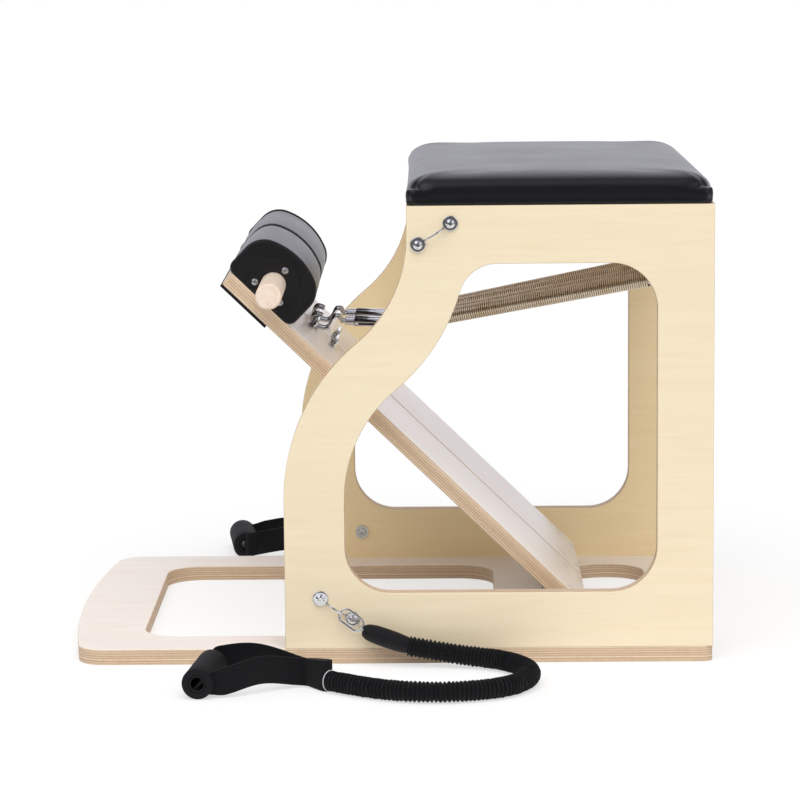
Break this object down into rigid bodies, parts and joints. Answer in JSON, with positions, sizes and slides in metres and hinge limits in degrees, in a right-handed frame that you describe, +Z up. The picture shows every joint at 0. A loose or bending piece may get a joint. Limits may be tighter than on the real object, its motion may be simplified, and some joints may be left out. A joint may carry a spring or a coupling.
{
  "type": "pilates chair",
  "caption": "Plywood pilates step chair with upholstered seat, sprung split pedal with padded rollers and a linking dowel, and handled resistance cords on the sides.",
  "frame": {"origin": "middle of the base board's underside, on the floor", "axes": "+Z up, +X to the rear edge under the seat, -X to the user's feet, near side panel at -Y"},
  "size_m": [0.814, 1.0576, 0.616],
  "materials": {
    "plywood": "clear satin lacquer over maple-faced plywood",
    "hidden_wood": "sanded",
    "leatherette": "fine-grained satin",
    "dowel_wood": "sanded, oiled",
    "screw_steel": "zinc plated",
    "bright_steel": "zinc plated",
    "chrome_wire": "polished",
    "bronze": "sintered",
    "spring_wire": "oiled spring wire",
    "black_board": "moulded satin",
    "black_rubber": "matt",
    "black_sleeve": "gathered woven sleeve",
    "black_webbing": "woven",
    "black_foam": "closed-cell foam"
  },
  "bodies": {
    "frame": {"base_board": "plywood", "near_side_panel": "plywood", "far_side_panel": "plywood", "seat_board": "hidden_wood", "seat_cushion": "leatherette", "seat_cleats": "hidden_wood", "back_rail": "hidden_wood", "wood_screws": "screw_steel", "spring_bar": "bright_steel", "bar_collars": "bright_steel", "pivot_axle": "bright_steel", "pillow_blocks": "bright_steel", "pillow_screws": "screw_steel", "near_bails": "chrome_wire", "far_bails": "chrome_wire", "bail_bolts": "bright_steel", "bail_nuts": "bright_steel", "near_cord_ring": "chrome_wire", "near_cord_ferrule": "black_rubber", "near_cord": "black_sleeve", "near_strap": "black_webbing", "near_grip": "black_foam", "far_cord_ring": "chrome_wire", "far_cord_ferrule": "black_rubber", "far_cord": "black_sleeve", "far_strap": "black_webbing", "far_grip": "black_foam"},
    "near_pedal": {"near_pedal_board": "plywood", "near_roller_core": "hidden_wood", "near_roller_pad": "leatherette", "near_end_cap": "black_board", "near_cap_screws": "screw_steel", "near_hinge_blocks": "bright_steel", "near_hinge_bushes": "bronze", "near_pedal_screws": "screw_steel", "near_upper_loop": "chrome_wire", "near_lower_loop": "chrome_wire", "near_bumper": "black_rubber"},
    "far_pedal": {"far_pedal_board": "plywood", "far_roller_core": "hidden_wood", "far_roller_pad": "leatherette", "far_end_cap": "black_board", "far_cap_screws": "screw_steel", "far_hinge_blocks": "bright_steel", "far_hinge_bushes": "bronze", "far_pedal_screws": "screw_steel", "far_upper_loop": "chrome_wire", "far_lower_loop": "chrome_wire", "far_bumper": "black_rubber"},
    "dowel": {"link_dowel": "dowel_wood"},
    "springs": {"near_outer_spring": "spring_wire", "near_inner_spring": "spring_wire", "far_inner_spring": "spring_wire", "far_outer_spring": "spring_wire", "spring_eyes": "bright_steel"},
    "spring_fronts": {"spring_ends": "chrome_wire"},
    "near_hooks": {"near_snap_hooks": "chrome_wire"},
    "far_hooks": {"far_snap_hooks": "chrome_wire"}
  },
  "joints": [
    {"name": "near_pedal_hinge", "type": "hinge", "parent": "frame", "child": "near_pedal", "pos_m": [0.217, 0, 0.036], "axis": [0, -1, 0], "range_deg": [0, 46.5], "stiffness_Nm_per_rad": 80, "springref_deg": -34.38},
    {"name": "far_pedal_hinge", "type": "hinge", "parent": "frame", "child": "far_pedal", "pos_m": [0.217, 0, 0.036], "axis": [0, -1, 0], "range_deg": [0, 46.5]},
    {"name": "dowel_pull", "type": "slide", "parent": "near_pedal", "child": "dowel", "axis": [0, -1, 0], "range_m": [0, 0.58]},
    {"name": "spring_swing", "type": "hinge", "parent": "frame", "child": "springs", "pos_m": [0.369, 0, 0.463], "axis": [0, -1, 0], "range_deg": [0, 23.02]},
    {"name": "hook_draw", "type": "slide", "parent": "springs", "child": "spring_fronts", "axis": [-0.9759, 0, -0.218], "range_m": [0, 0.28131], "deforming": ["near_outer_spring", "near_inner_spring", "far_inner_spring", "far_outer_spring"]},
    {"name": "near_hook_swing", "type": "hinge", "parent": "near_pedal", "child": "near_hooks", "pos_m": [-0.0902, 0, 0.40178], "axis": [0, -1, 0], "range_deg": [-23.58, 0]},
    {"name": "far_hook_swing", "type": "hinge", "parent": "far_pedal", "child": "far_hooks", "pos_m": [-0.0902, 0, 0.40178], "axis": [0, -1, 0], "range_deg": [-23.58, 0]}
  ],
  "couplings": [
    {"joint": "far_pedal_hinge", "follows": "near_pedal_hinge", "ratio": 1},
    {"joint": "spring_swing", "follows": "near_pedal_hinge", "ratio": 0.494},
    {"joint": "hook_draw", "follows": "near_pedal_hinge", "m_per_rad": 0.346},
    {"joint": "near_hook_swing", "follows": "near_pedal_hinge", "ratio": -0.506},
    {"joint": "far_hook_swing", "follows": "near_pedal_hinge", "ratio": -0.506}
  ]
}
